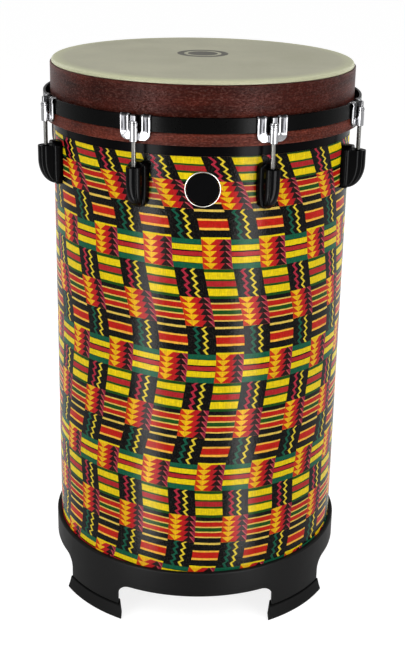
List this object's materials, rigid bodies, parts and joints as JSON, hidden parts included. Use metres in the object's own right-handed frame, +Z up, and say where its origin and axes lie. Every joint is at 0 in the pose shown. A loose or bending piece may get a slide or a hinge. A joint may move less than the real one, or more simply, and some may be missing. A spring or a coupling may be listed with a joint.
{
  "type": "hand drum",
  "caption": "Tube-shaped tunable hand drum: printed cloth shell, wood-ringed synthetic head pulled down by chromed tension rods, and a moulded base on rubber feet.",
  "frame": {"origin": "on the floor, at the middle of the drum's footprint", "axes": "+Z up the drum's axis, -Y out of the front, where the badge is"},
  "size_m": [0.373, 0.373, 0.6606],
  "materials": {
    "plywood": "raw rolled plywood",
    "printed_cloth": "strip-woven pattern printed on cloth, under clear gloss lacquer",
    "black_trim": "glossy black band",
    "skin": "cream synthetic film, satin",
    "dark_wood": "dark mahogany stain, satin",
    "red_wood": "red-brown stain, satin",
    "black_steel": "satin black",
    "chrome": "polished",
    "gloss_black": "glossy black",
    "screw_steel": "zinc plated",
    "moulding": "dark grey, fine texture",
    "foot_rubber": "black, matte"
  },
  "bodies": {
    "shell": {"shell_tube": "plywood", "shell_wrap": "printed_cloth", "trim_band": "black_trim", "badge_plate": "gloss_black", "badge_rim": "chrome", "head_film": "skin", "lug_1": "gloss_black", "lug_2": "gloss_black", "lug_3": "gloss_black", "lug_4": "gloss_black", "lug_5": "gloss_black", "lug_6": "gloss_black", "lug_7": "gloss_black", "lug_8": "gloss_black", "lug_screw_1": "screw_steel", "lug_screw_2": "screw_steel", "lug_screw_3": "screw_steel", "lug_screw_4": "screw_steel", "lug_screw_5": "screw_steel", "lug_screw_6": "screw_steel", "lug_screw_7": "screw_steel", "lug_screw_8": "screw_steel", "base_ring": "moulding", "base_screw_1": "screw_steel", "base_screw_2": "screw_steel", "base_screw_3": "screw_steel", "base_screw_4": "screw_steel", "foot_1": "foot_rubber", "foot_2": "foot_rubber", "foot_3": "foot_rubber", "foot_4": "foot_rubber"},
    "head": {"head_ring": "dark_wood", "hoop_ledge": "red_wood", "tension_hoop": "black_steel", "claw_1": "chrome", "claw_2": "chrome", "claw_3": "chrome", "claw_4": "chrome", "claw_5": "chrome", "claw_6": "chrome", "claw_7": "chrome", "claw_8": "chrome", "rod_washer_1": "chrome", "rod_washer_2": "chrome", "rod_washer_3": "chrome", "rod_washer_4": "chrome", "rod_washer_5": "chrome", "rod_washer_6": "chrome", "rod_washer_7": "chrome", "rod_washer_8": "chrome"},
    "rod_1": {"tension_rod_1": "chrome"},
    "rod_2": {"tension_rod_2": "chrome"},
    "rod_3": {"tension_rod_3": "chrome"},
    "rod_4": {"tension_rod_4": "chrome"},
    "rod_5": {"tension_rod_5": "chrome"},
    "rod_6": {"tension_rod_6": "chrome"},
    "rod_7": {"tension_rod_7": "chrome"},
    "rod_8": {"tension_rod_8": "chrome"}
  },
  "joints": [
    {"name": "head_tension", "type": "slide", "parent": "shell", "child": "head", "axis": [0, 0, -1], "range_m": [0, 0.006]},
    {"name": "rod_turn_1", "type": "hinge", "parent": "head", "child": "rod_1", "pos_m": [0.0734, -0.1772, 0.6], "axis": [0, 0, -1], "range_deg": [0, 2700]},
    {"name": "rod_turn_2", "type": "hinge", "parent": "head", "child": "rod_2", "pos_m": [0.1772, -0.0734, 0.6], "axis": [0, 0, -1], "range_deg": [0, 2700]},
    {"name": "rod_turn_3", "type": "hinge", "parent": "head", "child": "rod_3", "pos_m": [0.1772, 0.0734, 0.6], "axis": [0, 0, -1], "range_deg": [0, 2700]},
    {"name": "rod_turn_4", "type": "hinge", "parent": "head", "child": "rod_4", "pos_m": [0.0734, 0.1772, 0.6], "axis": [0, 0, -1], "range_deg": [0, 2700]},
    {"name": "rod_turn_5", "type": "hinge", "parent": "head", "child": "rod_5", "pos_m": [-0.0734, 0.1772, 0.6], "axis": [0, 0, -1], "range_deg": [0, 2700]},
    {"name": "rod_turn_6", "type": "hinge", "parent": "head", "child": "rod_6", "pos_m": [-0.1772, 0.0734, 0.6], "axis": [0, 0, -1], "range_deg": [0, 2700]},
    {"name": "rod_turn_7", "type": "hinge", "parent": "head", "child": "rod_7", "pos_m": [-0.1772, -0.0734, 0.6], "axis": [0, 0, -1], "range_deg": [0, 2700]},
    {"name": "rod_turn_8", "type": "hinge", "parent": "head", "child": "rod_8", "pos_m": [-0.0734, -0.1772, 0.6], "axis": [0, 0, -1], "range_deg": [0, 2700]}
  ],
  "couplings": [
    {"joint": "rod_turn_1", "follows": "head_tension", "rad_per_m": 7854},
    {"joint": "rod_turn_2", "follows": "head_tension", "rad_per_m": 7854},
    {"joint": "rod_turn_3", "follows": "head_tension", "rad_per_m": 7854},
    {"joint": "rod_turn_4", "follows": "head_tension", "rad_per_m": 7854},
    {"joint": "rod_turn_5", "follows": "head_tension", "rad_per_m": 7854},
    {"joint": "rod_turn_6", "follows": "head_tension", "rad_per_m": 7854},
    {"joint": "rod_turn_7", "follows": "head_tension", "rad_per_m": 7854},
    {"joint": "rod_turn_8", "follows": "head_tension", "rad_per_m": 7854}
  ]
}
